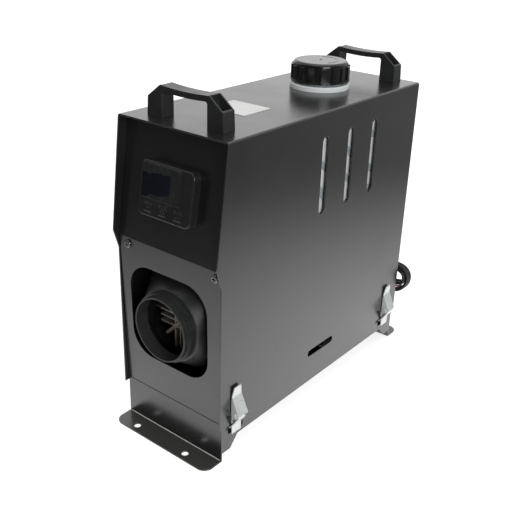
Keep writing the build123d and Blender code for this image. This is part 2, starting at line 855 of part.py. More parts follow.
def main_fan():
    return fan_wheel(main_fan_radius, motor_back() + fan_clear, main_fan_length, fan_blades)


def fan_shaft():
    front = blower_back() - fan_clear - burner_fan_length
    back = motor_back() + fan_clear + main_fan_length
    return rod_y(shaft_radius - 0.01, front, back, core_x, core_height)


def inlet_grille():
    front, back = core_back, core_back + grille_depth
    grille = along_y(core_face(0), front, back) - along_y(core_face(grille_rim), front - 1, back + 1)
    for radius in grille_rings:
        ring = rod_y(radius, front + 1, back - 1, core_x, core_height)
        grille += ring - rod_y(radius - grille_bar, front, back, core_x, core_height)
    for angle in range(0, 180, 45):
        bar = Pos(core_x, (front + back) / 2, core_height) * Rot(0, angle, 0) * Box(
            core_width + core_depth, grille_depth - 2, grille_bar)
        grille += bar & along_y(core_face(grille_rim / 2), front, back)
    return grille


def control_unit():
    high = core_height + core_inner - seat_gap
    return block(core_x - unit_width / 2, core_x + unit_width / 2, unit_front, unit_front + unit_length,
                 high - unit_height, high)


def core_bracket():
    x0, x1 = core_x - bracket_half, core_x + bracket_half
    bracket = block(x0, x1, bracket_front, bracket_back, core_low - sheet, core_low)
    for y, outward in ((bracket_front, -1), (bracket_back, 1)):
        a, b = sorted((y, y - outward * sheet))
        bracket += block(x0, x1, a, b, floor_top, core_low)
        c, d = sorted((y, y + outward * bracket_foot))
        bracket += block(x0, x1, min(c, a), max(d, b), floor_top, floor_top + sheet)
    for y, radius in ((exhaust_y, exhaust_radius), (intake_y, intake_radius)):
        bracket -= rod_z(radius + pipe_step + seat_gap, core_low - 2 * sheet, core_low + 1, core_x, y)
    return bracket


def bracket_bolts():
    head = extrude(RegularPolygon(bolt_size, 6), amount=bolt_head)
    return [Pos(x, y, floor_top + sheet) * head
            for y in (bracket_front - bracket_foot / 2, bracket_back + bracket_foot / 2)
            for x in (core_x - bolt_spread, core_x + bolt_spread)]


def stub_pipe(y, radius):
    high = core_low + core_wall - seat_gap
    pipe = rod_z(radius, pipe_low, high, core_x, y)
    pipe += rod_z(radius + pipe_step, pipe_low + pipe_seat, high, core_x, y)
    return pipe - rod_z(radius - pipe_wall, pipe_low - 1, high + 1, core_x, y)


# ---- fuel line ----
def tube_through(points, radius):
    """A tube along straight runs joined by tangent arcs, each as large as its runs allow."""
    vectors = [Vector(*p) for p in points]
    radii = []
    for before, here, after in zip(vectors, vectors[1:], vectors[2:]):
        turn = radians((here - before).get_angle(after - here))
        run = min((here - before).length, (after - here).length)
        radii.append(0.45 * run / tan(turn / 2))
    path = FilletPolyline(*points, radius=radii)
    start = Plane(origin=path @ 0, z_dir=path % 0)
    return sweep(start * Circle(radius), path=path), path.length, radii


def fuel_filter():
    back = filter_front + filter_length
    body = rod_y(filter_radius, filter_front, back, filter_x, fuel_height)
    body = fillet(body.edges().filter_by(GeomType.CIRCLE), filter_round)
    return body + rod_y(nipple_radius, filter_front - nipple_length, back + nipple_length,
                        filter_x, fuel_height)


def filter_clip():
    middle = filter_front + filter_length / 2
    return block(filter_x - clip_width / 2, filter_x + clip_width / 2, middle - clip_length / 2,
                 middle + clip_length / 2, floor_top, fuel_height - filter_radius - seat_gap)


def fuel_pump():
    back = pump_front + pump_length
    body = rod_y(pump_radius, pump_front, back, pump_x, fuel_height)
    body = chamfer(body.edges().filter_by(GeomType.CIRCLE), pump_edge)
    return body + rod_y(nipple_radius, pump_front - nipple_length, back + nipple_length,
                        pump_x, fuel_height)


def pump_sleeve():
    middle = pump_front + pump_length / 2
    front, back = middle - sleeve_length / 2, middle + sleeve_length / 2
    sleeve = rod_y(pump_radius + sleeve_thickness, front, back, pump_x, fuel_height)
    sleeve += block(pump_x - sleeve_foot / 2, pump_x + sleeve_foot / 2, front, back, floor_top,
                    fuel_height - pump_radius - sleeve_play)
    return sleeve - rod_y(pump_radius + sleeve_play, front - 1, back + 1, pump_x, fuel_height)


def tank_outlet():
    return rod_z(nipple_radius, shelf_height - outlet_drop, shelf_top, outlet_x, outlet_y)


def fuel_inlet():
    return rod_z(nipple_radius, core_low - inlet_drop, core_low + core_wall, inlet_x, inlet_y)


def hoses():
    filter_back = filter_front + filter_length
    pump_back = pump_front + pump_length
    z = fuel_height
    routes = [
        [(outlet_x, outlet_y, shelf_height - outlet_drop), (outlet_x, outlet_y, 160),
         (outlet_x - 2, outlet_y + 9, 120), (outlet_x - 4, outlet_y + 17, 88),
         (outlet_x - 4, outlet_y + 21, 62), (filter_x, outlet_y + 10, z),
         (filter_x, filter_back + nipple_length, z)],
        [(filter_x, filter_front - nipple_length, z), (filter_x, filter_front - 22, z),
         (filter_x + 17, filter_front - 31, z + 1), (pump_x, pump_front - 22, z),
         (pump_x, pump_front - nipple_length, z)],
        [(pump_x, pump_back + nipple_length, z), (pump_x, pump_back + 24, z),
         (pump_x + 24, pump_back + 36, z + 1), (inlet_x, pump_back + 20, z + 2),
         (inlet_x + 1, pump_back - 14, z + 1), (inlet_x + 1, inlet_y + 24, z),
         (inlet_x, inlet_y, z + 2), (inlet_x, inlet_y, core_low - inlet_drop)]]
    return [tube_through(points, hose_radius)[0] for points in routes]


# ---- controller ----
def controller_place():
    """Plane on the upper front sheet: x across, y up along the sheet, z out of it."""
    return Plane(origin=(0, front_face_y(panel_height), panel_height), x_dir=(1, 0, 0),
                 z_dir=(0, -cos(lean), sin(lean))).location


def on_panel(face, low, high):
    return controller_place() * Pos(0, 0, low) * extrude(face, amount=high - low)


def window_face(grow):
    width, tall = window_right - window_left, window_high - window_low
    middle = ((window_left + window_right) / 2, (window_low + window_high) / 2)
    return Pos(*middle) * RectangleRounded(width + 2 * grow, tall + 2 * grow, window_round + grow)


def key_face(x, grow):
    return Pos(x, key_row) * RectangleRounded(key_width + 2 * grow, key_tall + 2 * grow, key_round + grow)


def inside_face(inset, corner):
    """Rounded rectangle inside the walls of the controller's back."""
    edge = 2 * (back_inset + inset)
    return RectangleRounded(panel_width - edge, panel_tall - edge, corner)


def controller_back():
    body = on_panel(inside_face(0, panel_round - back_inset), 0, panel_back_depth)
    body -= on_panel(inside_face(panel_wall, panel_round - panel_wall), panel_wall, panel_back_depth + 1)
    return body - on_panel(Circle(lead_hole), -1, panel_wall + 1)


def controller_board():
    top = panel_wall + board_thickness
    corner = panel_round - panel_wall - seat_gap
    body = on_panel(inside_face(panel_wall + seat_gap, corner), panel_wall, top)
    for x in key_places:
        body += on_panel(Pos(x, key_row) * Rectangle(switch_size, switch_size), top, switch_top())
    return body


def key_under():
    """Height of the key's rim above the sheet, where it meets the inside of the front."""
    return panel_face - panel_wall - seat_gap


def switch_top():
    return key_under() - stem_length - key_travel - switch_play


def controller_front():
    outer = RectangleRounded(panel_width, panel_tall, panel_round)
    shell = extrude(outer, amount=panel_face - panel_back_depth)
    shell = fillet(shell.edges().group_by(Axis.Z)[-1], panel_edge)
    shell = controller_place() * Pos(0, 0, panel_back_depth) * shell
    inner = RectangleRounded(panel_width - 2 * panel_wall, panel_tall - 2 * panel_wall,
                             panel_round - panel_wall)
    shell -= on_panel(inner, panel_back_depth - 1, panel_face - panel_wall)
    shell -= on_panel(window_face(0), panel_face - window_thickness, panel_face + 1)
    shell -= on_panel(window_face(-window_ledge), panel_face - 2 * panel_wall, panel_face)
    for x in key_places:
        shell -= on_panel(key_face(x, key_play), panel_face - 2 * panel_wall, panel_face + 1)
    return shell


def controller_window():
    return on_panel(window_face(-window_play), panel_face - window_thickness, panel_face - window_play)


def controller_display():
    top = panel_face - window_thickness - seat_gap
    return on_panel(window_face(-window_ledge - seat_gap), top - display_thickness, top)


def controller_key(x):
    under = key_under()
    key = on_panel(key_face(x, 0), under - key_rim, panel_face + key_rise)
    key += on_panel(key_face(x, key_rim), under - key_rim, under)
    return key + on_panel(Pos(x, key_row) * Circle(stem_radius), under - stem_length, under)


# ---- toggle latches ----
def latch_rivet_heights():
    return latch_base_low + base_rivet_low, latch_base_high - base_rivet_high


def lever(y):
    """Lever on the +X side: a channel with its web out, a notch for the claw and the claw's pin."""
    outer = [(half + lever_reach_top, lever_top), (half + lever_reach_bend, lever_bend),
             (half + lever_reach_low, lever_low)]
    line = FilletPolyline(*outer, radius=lever_round)
    web_face = trace(line, line_width=lever_sheet)
    web_face = Pos(-lever_sheet / 2, 0) * web_face
    web = along_y(web_face, y - lever_width / 2, y + lever_width / 2)
    tip = (lever_width - tip_width) / 2
    for side in (-1, 1):
        edge = y + side * lever_width / 2
        corner = [(edge, lever_top + 1), (edge - side * (tip + tip_slant), lever_top + 1),
                  (edge - side * tip, lever_top - tip_corner), (edge, lever_bend)]
        web -= along_x(outline(corner), half - 1, half + 2 * lever_reach_low)
    notch = claw_width / 2 + notch_gap
    web -= block(half, half + 2 * lever_reach_low, y - notch, y + notch, lever_low - lever_sheet, notch_top)
    web = web + cheek(y - lever_width / 2) + cheek(y + lever_width / 2 - lever_sheet)
    web -= rod_y(pivot_radius + pivot_play, y - lever_width, y + lever_width, pivot_x, pivot_height)
    pin = rod_y(claw_pin_radius, y - lever_width / 2, y + lever_width / 2, claw_pin_x, claw_pin_height)
    return web + pin


def cheek(y):
    low_x = half + lever_reach_low - cheek_inset
    points = [(half + lever_reach_bend - cheek_inset, lever_bend), (low_x, lever_low),
              (low_x - cheek_toe_in, lever_low - cheek_toe_drop), (pivot_x, pivot_height - 1),
              (pivot_x - cheek_radius + cheek_inset, pivot_height + 1),
              (half + cheek_gap, lever_bend - cheek_drop)]
    face = outline(points) + Pos(pivot_x, pivot_height) * Circle(cheek_radius)
    return along_y(face, y, y + lever_sheet)


def web_reach(z):
    """Outer face of the lever's web at height z."""
    slope = (lever_reach_low - lever_reach_bend) / (lever_bend - lever_low)
    return half + lever_reach_bend + slope * (lever_bend - z)


def claw_tongue(y, knee_x):
    """Plate on the claw that lies flush in the lever's notch while the latch is shut."""
    low, high, heel_top = tongue_low, notch_top - notch_gap, tongue_low + tongue_heel
    plate = [(web_reach(low), low), (web_reach(high), high), (web_reach(high) - lever_sheet, high),
             (web_reach(low) - lever_sheet, low)]
    heel = [(knee_x, low), (web_reach(low) - lever_sheet / 2, low),
            (web_reach(heel_top) - lever_sheet / 2, heel_top), (knee_x - tongue_heel_in, heel_top)]
    return along_y(outline(plate) + outline(heel), y - claw_width / 2, y + claw_width / 2)


def claw(y):
    """Bent plate that hangs on the lever's pin and hooks into the tray's keeper slot."""
    curl_radius = claw_pin_radius + claw_curl_gap + claw_sheet
    knee_x = pivot_x + pivot_radius + claw_knee_gap + claw_sheet / 2
    hook_height = (keeper_low + keeper_high) / 2 + claw_lift
    line = FilletPolyline((claw_pin_x + curl_radius - claw_sheet / 2, claw_pin_height),
                          (knee_x, pivot_height), (knee_x - claw_shin_in, claw_shin_height),
                          (half + claw_ankle_reach, claw_ankle_height),
                          (half + claw_hook_reach, hook_height),
                          (wall_half - claw_hook_past, hook_height), radius=list(claw_bends))
    plate = along_y(trace(line, line_width=claw_sheet), y - claw_low_width / 2, y + claw_low_width / 2)
    for side in (-1, 1):
        a, b = sorted((y + side * claw_width / 2, y + side * claw_low_width))
        plate -= block(half, pivot_x + 2 * lever_reach_low, a, b, claw_neck_low, lever_bend)
    plate += rod_y(curl_radius, y - claw_width / 2, y + claw_width / 2, claw_pin_x, claw_pin_height)
    lip_x = half + claw_ankle_reach
    plate += block(lip_x - claw_sheet / 2, lip_x + claw_sheet / 2, y - claw_low_width / 2,
                   y + claw_low_width / 2, claw_lip_low, claw_ankle_height + seat_gap)
    plate += claw_tongue(y, knee_x)
    return plate - rod_y(claw_pin_radius + pivot_play, y - claw_width, y + claw_width,
                         claw_pin_x, claw_pin_height)


def latch_base(y):
    ears_out = lever_width / 2 - lever_sheet - ear_gap
    ear_low = pivot_height - ear_radius
    plate = block(half, half + lever_sheet, y - ears_out, y + ears_out, latch_base_low, latch_base_high)
    ear = block(half, pivot_x, y + ears_out - lever_sheet, y + ears_out, ear_low, latch_base_high)
    ear += rod_y(ear_radius, y + ears_out - lever_sheet, y + ears_out, pivot_x, pivot_height)
    ear = ear & block(half, pivot_x + ear_radius, y, y + lever_width, ear_low, latch_base_high)
    plate = plate + ear + mirror(ear, about=Plane.XZ.offset(-y))
    plate -= rod_y(pivot_radius + shaft_play / 5, y - lever_width, y + lever_width, pivot_x, pivot_height)
    for z in latch_rivet_heights():
        plate -= rod_x(screw_shank / 2, half - 1, half + 2 * lever_sheet, y, z)
    return plate


def latch_pivot(y):
    """Rivet that carries a lever, with a head outside each cheek."""
    near, far = lever_width / 2 + pivot_gap, lever_width / 2 + pivot_gap + pivot_head
    pin = rod_y(pivot_radius, y - far, y + far, pivot_x, pivot_height)
    for a, b in ((y - far, y - near), (y + near, y + far)):
        pin += rod_y(pivot_radius + pivot_head, a, b, pivot_x, pivot_height)
    return pin


def latch_rivets(y):
    rivets = []
    for z in latch_rivet_heights():
        seat = half + lever_sheet
        body = rod_x(screw_shank / 2 - rivet_play, inner_half - rivet_play, seat + base_rivet_head / 2, y, z)
        rivets.append(body + rod_x(screw_shank, seat, seat + base_rivet_head, y, z))
    return rivets


# ---- power cord ----
def cord_lead_points():
    y, z = leg + gland_reach, gland_height
    return [(gland_x + boot_length, y, z), (gland_x + boot_length + 8, y, z),
            (hank_entry - 8, y + 0.9, z + 0.1), (hank_entry - 0.6, y + 2.4, z + 0.3)]


def cord_tail_points():
    """The tail starts inside the hank's lower side and hangs down to the plug."""
    z = hank_low + cord / 2 + 0.2
    return [(38, hank_near + 2.7, z), (20, hank_near + 2.8, z), (8, hank_near + 4.5, z - 11),
            (6, hank_near + 5, z - 27)]


def cable_gland():
    """Gland in the rear sheet, with a tapered boot that leads the cord off to the side."""
    y = leg + gland_reach
    gland = rod_y(gland_flange, leg, leg + gland_flange_thickness, gland_x, gland_height)
    elbow = rod_y(gland_radius, leg, y + boot_radius, gland_x, gland_height)
    gland += fillet(elbow.edges().filter_by(GeomType.CIRCLE).sort_by(Axis.Y)[-1], boot_radius / 2)
    gland += rod_y(gland_stem - screw_play / 2, leg - 2 * sheet, leg + 1, gland_x, gland_height)
    boot = Pos(gland_x + boot_length / 2, y, gland_height) * Rot(0, 90, 0) * Cone(
        boot_radius, boot_end, boot_length)
    return gland + boot


def cable_tie():
    """Tie with its foot on the rear sheet, round the upper side of the hank."""
    x0, x1 = tie_x - tie_width / 2, tie_x + tie_width / 2
    y0, y1 = hank_near - seat_gap, hank_far + seat_gap
    z0, z1 = tie_low, hank_high + seat_gap
    strap = block(x0, x1, y0 - tie_thickness, y1 + tie_thickness, z0 - tie_thickness, z1 + tie_thickness)
    strap -= block(x0 - 1, x1 + 1, y0, y1, z0, z1)
    foot_block = block(tie_x - tie_base / 2, tie_x + tie_base / 2, leg, y0 - tie_thickness / 2, z0, z1)
    return strap + foot_block


def cord_hank():
    """The wound-up cord as one closed ring, as deep as two turns and open in the middle."""
    outer = outline([(hank_entry, hank_high), (hank_right, hank_high), (81.5, 66), (60, hank_low),
                     (hank_left, hank_low), (hank_left, 95), (hank_entry, hank_entry_low)],
                    [(1, 12), (2, 8), (4, 14), (5, 8)])
    inner = outline([(4, 77), (50, 77), (75.5, 89.5), (74.5, 100.5), (28, 97), (5, 84)],
                    [(0, 3), (2, 5), (3, 5), (5, 4)])
    return along_y(outer, hank_near, hank_far) - along_y(inner, hank_near - 1, hank_far + 1)


def cord_plug():
    x, y, z = cord_tail_points()[-1]
    z += plug_seat
    plug = block(x - plug_width / 2, x + plug_width / 2, y - plug_depth / 2, y + plug_depth / 2,
                 z - plug_tall, z)
    return fillet(plug.edges().filter_by(Axis.Z), plug_depth / 5)


# ---- write the pieces ----
def write(name, *solids):
    pieces = [s for shape in solids for s in shape.solids()]
    export_step(pieces[0] if len(pieces) == 1 else Compound(children=pieces), f"parts/{name}.step")


def main():
    os.makedirs("parts", exist_ok=True)
    write("base_tray", base_tray())
    write("cover_shell", cover_shell())
    write("front_sheet", front_sheet())
    write("rear_sheet", rear_sheet())
    write("tank_shelf", tank_shelf())
    write("case_screws", *front_screws(), *handle_screws())
    write("fuel_tank", fuel_tank())
    write("filler_ring", filler_ring())
    write("filler_cap", filler_cap())
    write("cap_seal", cap_seal())
    write("handle_front", handle(handle_front))
    write("handle_rear", handle(handle_back))
    write("blank_label", blank_label())

    write("core_casing_lower", core_casing(False))
    write("core_casing_upper", core_casing(True))
    write("outlet_hood", outlet_hood())
    write("outlet_duct", outlet_duct())
    write("heat_exchanger", heat_exchanger())
    write("burner_tube", burner_tube())
    write("glow_plug", glow_plug())
    write("blower_housing", blower_housing())
    write("motor", motor())
    write("fan_shaft", fan_shaft())
    write("burner_fan", burner_fan())
    write("main_fan", main_fan())
    write("inlet_grille", inlet_grille())
    write("control_unit", control_unit())
    write("core_bracket", core_bracket())
    write("bracket_bolts", *bracket_bolts())
    write("exhaust_stub", stub_pipe(exhaust_y, exhaust_radius))
    write("intake_stub", stub_pipe(intake_y, intake_radius))

    write("fuel_fittings", fuel_inlet(), tank_outlet())
    write("fuel_filter", fuel_filter())
    write("fuel_pump", fuel_pump())
    write("fuel_mounts", filter_clip(), pump_sleeve())
    write("fuel_hoses", *hoses())

    write("controller_back", controller_back())
    write("controller_board", controller_board())
    write("controller_front", controller_front())
    write("controller_window", controller_window())
    write("controller_display", controller_display())
    for name, x in zip(("key_left", "key_middle", "key_right"), key_places):
        write(name, controller_key(x))

    for end, y in zip(("front", "rear"), latch_places):
        write(f"lever_{end}_right", lever(y))
        write(f"lever_{end}_left", mirror_x(lever(y)))
        write(f"claw_{end}_right", claw(y))
        write(f"claw_{end}_left", mirror_x(claw(y)))
    bases = [latch_base(y) for y in latch_places]
    pivots = [latch_pivot(y) for y in latch_places]
    rivets = [body for y in latch_places for body in latch_rivets(y)]
    write("latch_bases", *bases, *[mirror_x(body) for body in bases])
    write("latch_pivots", *pivots, *[mirror_x(body) for body in pivots])
    write("rivets", *shelf_rivets(), *rivets, *[mirror_x(body) for body in rivets])

    write("cable_mounts", cable_gland(), cable_tie())
    for name, points in (("cord_lead", cord_lead_points()), ("cord_tail", cord_tail_points())):
        tube, length, radii = tube_through(points, cord / 2)
        print(name, "length", round(length, 1), "radii", [round(r, 1) for r in radii],
              "volume share", round(tube.volume / (pi * cord ** 2 / 4 * length), 4))
        write(name, tube)
    write("cord_hank", cord_hank())
    write("cord_plug", cord_plug())


main()
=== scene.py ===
import json
import math

import bmesh
import bpy
from mathutils import Matrix, Vector


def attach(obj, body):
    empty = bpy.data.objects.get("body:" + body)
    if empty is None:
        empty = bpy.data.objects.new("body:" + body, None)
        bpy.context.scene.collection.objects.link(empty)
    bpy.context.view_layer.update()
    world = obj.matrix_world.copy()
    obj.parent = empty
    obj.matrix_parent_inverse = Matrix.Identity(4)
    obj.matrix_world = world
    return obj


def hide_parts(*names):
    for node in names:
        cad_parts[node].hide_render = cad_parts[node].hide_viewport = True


# Diesel air heater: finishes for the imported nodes, and modelled pieces for the power cord, the
# controller, the filler cap and the tray. Everything is in the frame of the part. Materials, lamps and
# the floor are in metres. Pieces are in millimetres and turned into metres with MM.

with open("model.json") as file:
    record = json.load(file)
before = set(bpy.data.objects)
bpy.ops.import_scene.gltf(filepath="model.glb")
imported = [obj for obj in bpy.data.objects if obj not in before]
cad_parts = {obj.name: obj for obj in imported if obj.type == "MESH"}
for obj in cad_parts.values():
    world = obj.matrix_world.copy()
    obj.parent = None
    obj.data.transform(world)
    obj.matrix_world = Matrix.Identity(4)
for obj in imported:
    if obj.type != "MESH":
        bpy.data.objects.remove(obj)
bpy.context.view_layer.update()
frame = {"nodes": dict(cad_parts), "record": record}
NODES = frame["nodes"]
MM = 0.001

# ---- camera ----
IMAGE_WIDTH = 510.0
SENSOR = 36.0
CAMERA_AZIMUTH = 38.35
CAMERA_ELEVATION = 24.873
CAMERA_ROLL = 1.801
CAMERA_PLACE = (0.521847, -0.700444, 0.572335)
FOCAL_PIXELS = 776.816
CLIP_START = 0.05


def make_camera():
    """The camera of the photograph, from its fitted direction, roll, place and focal length."""
    azimuth, elevation, roll = (math.radians(a) for a in (CAMERA_AZIMUTH, CAMERA_ELEVATION, CAMERA_ROLL))
    back = Vector((math.sin(azimuth) * math.cos(elevation), -math.cos(azimuth) * math.cos(elevation),
                   math.sin(elevation)))
    level = Vector((math.cos(azimuth), math.sin(azimuth), 0.0))
    upright = back.cross(level)
    right = math.cos(roll) * level + math.sin(roll) * upright
    up = math.cos(roll) * upright - math.sin(roll) * level
    data = bpy.data.cameras.new("camera")
    data.sensor_width = SENSOR
    data.lens = FOCAL_PIXELS / IMAGE_WIDTH * SENSOR
    data.clip_start = CLIP_START
    camera = bpy.data.objects.new("camera", data)
    bpy.context.scene.collection.objects.link(camera)
    turn = Matrix((right, up, back)).transposed().to_4x4()
    camera.matrix_world = Matrix.Translation(CAMERA_PLACE) @ turn
    bpy.context.scene.camera = camera


make_camera()


# ---- material building ----
class Nodes:
    """A node tree and the few operations that the materials and the world are made of."""

    def __init__(self, tree):
        self.tree = tree

    def add(self, kind, inputs=None, **settings):
        node = self.tree.nodes.new(kind)
        for key, value in settings.items():
            setattr(node, key, value)
        for key, value in (inputs or {}).items():
            self.put(node.inputs[key], value)
        return node

    def put(self, socket, value):
        if isinstance(value, bpy.types.NodeSocket):
            self.tree.links.new(value, socket)
        elif isinstance(value, tuple) and len(value) == 3 and socket.type == "RGBA":
            socket.default_value = (*value, 1.0)
        else:
            socket.default_value = value

    def math(self, operation, a, b=0.5, clamp=False):
        node = self.add("ShaderNodeMath", {0: a, 1: b}, operation=operation, use_clamp=clamp)
        return node.outputs[0]

    def fit(self, value, low, high, to_low=0.0, to_high=1.0):
        """Map a value from one range onto another, without leaving it."""
        node = self.add("ShaderNodeMapRange", {"Value": value, "From Min": low, "From Max": high,
                                               "To Min": to_low, "To Max": to_high}, clamp=True)
        return node.outputs["Result"]

    def seen(self):
        """1 for rays that come straight or through something clear from the camera."""
        path = self.add("ShaderNodeLightPath").outputs
        return self.math("MAXIMUM", path["Is Camera Ray"], path["Is Transmission Ray"])


class Shade(Nodes):
    """One procedural material. Sizes are in metres, and patterns lie in the part's own frame."""

    def __init__(self, name):
        self.material = bpy.data.materials.new(name)
        self.material.use_nodes = True
        super().__init__(self.material.node_tree)
        self.bsdf = self.tree.nodes["Principled BSDF"]
        self.place = self.add("ShaderNodeTexCoord").outputs["Object"]

    def set(self, **values):
        for key, value in values.items():
            self.put(self.bsdf.inputs[key.replace("_", " ")], value)

    def mix(self, share, a, b):
        node = self.add("ShaderNodeMix", {0: share, 6: a, 7: b}, data_type="RGBA")
        return node.outputs[2]

    def stretched(self, scale):
        return self.add("ShaderNodeMapping", {"Vector": self.place, "Scale": scale}).outputs[0]

    def noise(self, size, detail=3.0, rough=0.5, place=None):
        """Clouds about this large, from 0 to 1."""
        node = self.add("ShaderNodeTexNoise", {"Vector": place or self.place, "Scale": 1.0 / size,
                                               "Detail": detail, "Roughness": rough})
        return node.outputs["Fac"]

    def cells(self, size, feature="F1"):
        node = self.add("ShaderNodeTexVoronoi", {"Vector": self.place, "Scale": 1.0 / size},
                        feature=feature)
        return node.outputs["Distance"]

    def axis(self, name):
        return self.add("ShaderNodeSeparateXYZ", {0: self.place}).outputs[name]

    def facing(self, name):
        """How far the surface faces along this axis, from -1 to 1."""
        normal = self.add("ShaderNodeNewGeometry").outputs["Normal"]
        return self.add("ShaderNodeSeparateXYZ", {0: normal}).outputs[name]

    def rounded(self, radius):
        """Normal with the edges rounded off by the bevel shader."""
        return self.add("ShaderNodeBevel", {"Radius": radius}, samples=6).outputs[0]

    def edge(self, normal, sharp=0.02):
        """1 on the rounded edges, 0 on the faces between them."""
        flat = self.add("ShaderNodeNewGeometry").outputs["Normal"]
        same = self.add("ShaderNodeVectorMath", {0: normal, 1: flat}, operation="DOT_PRODUCT")
        return self.fit(same.outputs["Value"], 1.0 - sharp, 1.0, 1.0, 0.0)

    def bump(self, height, depth, normal=None):
        inputs = {"Height": height, "Distance": depth, "Strength": 1.0}
        if normal is not None:
            inputs["Normal"] = normal
        return self.add("ShaderNodeBump", inputs).outputs[0]


PAINT_ROUGH = 0.24
PAINT_IOR = 1.8
# Colour of the paint's lighter edges: rubbed steel, and a painted highlight.
EDGE_RUB_AND_HIGHLIGHT = (0.16, 0.155, 0.15)
DUST_SPECKS = (0.22, 0.22, 0.21)
# Grey that faces looking up are painted towards, by the share given.
UPWARD_GREY = (0.20, 0.20, 0.185)
BAND_LENGTH = 0.034
BAND_SLANT = 0.55
BAND_DEPTH = 0.0006


def powder_coat(name, dark, light, upward_share=0.0):
    """Satin black powder coat on sheet steel: fine orange peel, a little dust, and edges painted lighter,
    as rubbed wear and as a painted highlight.
    """
    s = Shade(name)
    edges = s.rounded(0.0007)
    clouds = s.noise(0.09, 4.0, 0.6)
    colour = s.mix(s.fit(clouds, 0.3, 0.7), dark, light)
    # Edges painted lighter towards rubbed steel: partly wear, partly a painted highlight along the edges.
    worn_and_highlit = s.math("MULTIPLY", s.edge(edges, 0.12), s.fit(s.noise(0.012, 4.0, 0.7), 0.35, 0.7, 0.25, 1.0))
    colour = s.mix(s.math("MULTIPLY", worn_and_highlit, 0.45), colour, EDGE_RUB_AND_HIGHLIGHT)
    dust_and_highlight = s.fit(s.cells(0.011), 0.035, 0.02)
    colour = s.mix(s.math("MULTIPLY", dust_and_highlight, 0.25), colour, DUST_SPECKS)
    # Faces that look up are painted lighter grey, by the share given.
    upward = s.fit(s.facing("Z"), 0.6, 0.95)
    colour = s.mix(s.math("MULTIPLY", upward, upward_share), colour, UPWARD_GREY)
    peel = s.noise(0.0011, 2.0, 0.5)
    fine = s.noise(0.00035, 2.0, 0.6)
    normal = s.bump(peel, 0.00003, s.bump(fine, 0.00001, edges))
    rough = s.fit(s.noise(0.05, 5.0, 0.65), 0.25, 0.75, PAINT_ROUGH - 0.04, PAINT_ROUGH + 0.05)
    s.set(Base_Color=colour, Roughness=rough, Normal=normal, IOR=PAINT_IOR)
    return s.material


def bright_zinc():
    """Bright zinc plate: rolling lines, cloudy passivation, dull scuffs, and rims painted near-white as a
    painted highlight.
    """
    s = Shade("bright_zinc")
    edges = s.rounded(0.0004)
    clouds = s.noise(0.014, 4.0, 0.6)
    colour = s.mix(s.fit(clouds, 0.3, 0.7), (0.72, 0.75, 0.76), (0.86, 0.88, 0.88))
    # Edges painted near-white: a painted highlight on the rims.
    colour = s.mix(s.edge(edges, 0.15), colour, (0.95, 0.96, 0.96))
    lines = s.noise(0.0012, 3.0, 0.6, s.stretched((1.0, 6.0, 0.35)))
    rough = s.math("ADD", s.fit(clouds, 0.2, 0.8, 0.22, 0.34), s.fit(lines, 0.3, 0.7, 0.0, 0.12))
    normal = s.bump(lines, 0.00001, edges)
    s.set(Base_Color=colour, Metallic=0.35, Roughness=rough, Normal=normal)
    return s.material


def plated_sheet(name, dark, light, rough_low, rough_high):
    """Galvanised or turned steel: crystal-like patches over a dull metal."""
    s = Shade(name)
    patches = s.cells(0.006)
    clouds = s.noise(0.02, 3.0)
    share = s.math("ADD", s.fit(patches, 0.1, 0.6, 0.0, 0.6), s.fit(clouds, 0.3, 0.7, 0.0, 0.4), True)
    s.set(Base_Color=s.mix(share, dark, light), Metallic=1.0,
          Roughness=s.fit(clouds, 0.2, 0.8, rough_low, rough_high),
          Normal=s.bump(patches, 0.00002, s.rounded(0.0003)))
    return s.material


def tank_plastic():
    """Milky polyethylene with slanted moulded bands, as the level slots show it."""
    s = Shade("tank_plastic")
    slant = s.math("ADD", s.axis("Z"), s.math("MULTIPLY", s.axis("Y"), BAND_SLANT))
    drift = s.fit(s.noise(0.03, 2.0), 0.3, 0.7, -0.006, 0.006)
    wave = s.math("SINE", s.math("MULTIPLY", s.math("ADD", slant, drift), math.tau / BAND_LENGTH))
    band = s.fit(wave, -0.70, -0.45)
    clouds = s.noise(0.02, 4.0, 0.6)
    # The bands are painted darker: painted shade on the moulded bands, which the bump also raises.
    colour = s.mix(band, (0.42, 0.47, 0.50), (0.93, 0.95, 0.95))
    colour = s.mix(s.fit(clouds, 0.3, 0.8, 0.0, 0.25), colour, (0.70, 0.75, 0.77))
    normal = s.bump(s.noise(0.001, 2.0), 0.00002, s.bump(band, BAND_DEPTH, s.rounded(0.001)))
    s.set(Base_Color=colour, Roughness=0.42, Normal=normal, Subsurface_Weight=0.15,
          Subsurface_Radius=(0.004, 0.004, 0.004), Subsurface_Scale=1.0)
    return s.material


def plastic(name, dark, light, rough, grain=0.0005, depth=0.00003, edge=0.0006, edge_wear_and_highlight=0.25):
    """Moulded plastic or rubber with a fine grain and slightly rounded edges."""
    s = Shade(name)
    clouds = s.noise(0.03, 4.0, 0.6)
    colour = s.mix(s.fit(clouds, 0.3, 0.7), dark, light)
    edges = s.rounded(edge)
    # Edges painted lighter by the share given: partly scuffed wear, partly a painted highlight on the
    # edges.
    scuffs_and_highlight = s.math("MULTIPLY", s.edge(edges, 0.12), s.fit(s.noise(0.006, 3.0, 0.7), 0.4, 0.75))
    colour = s.mix(s.math("MULTIPLY", scuffs_and_highlight, edge_wear_and_highlight), colour, tuple(0.10 + 0.7 * c for c in light))
    normal = s.bump(s.noise(grain, 2.0, 0.6), depth, edges)
    uneven = s.fit(s.noise(0.015, 4.0, 0.6), 0.25, 0.75, rough - 0.05, rough + 0.05)
    s.set(Base_Color=colour, Roughness=uneven, Normal=normal)
    return s.material


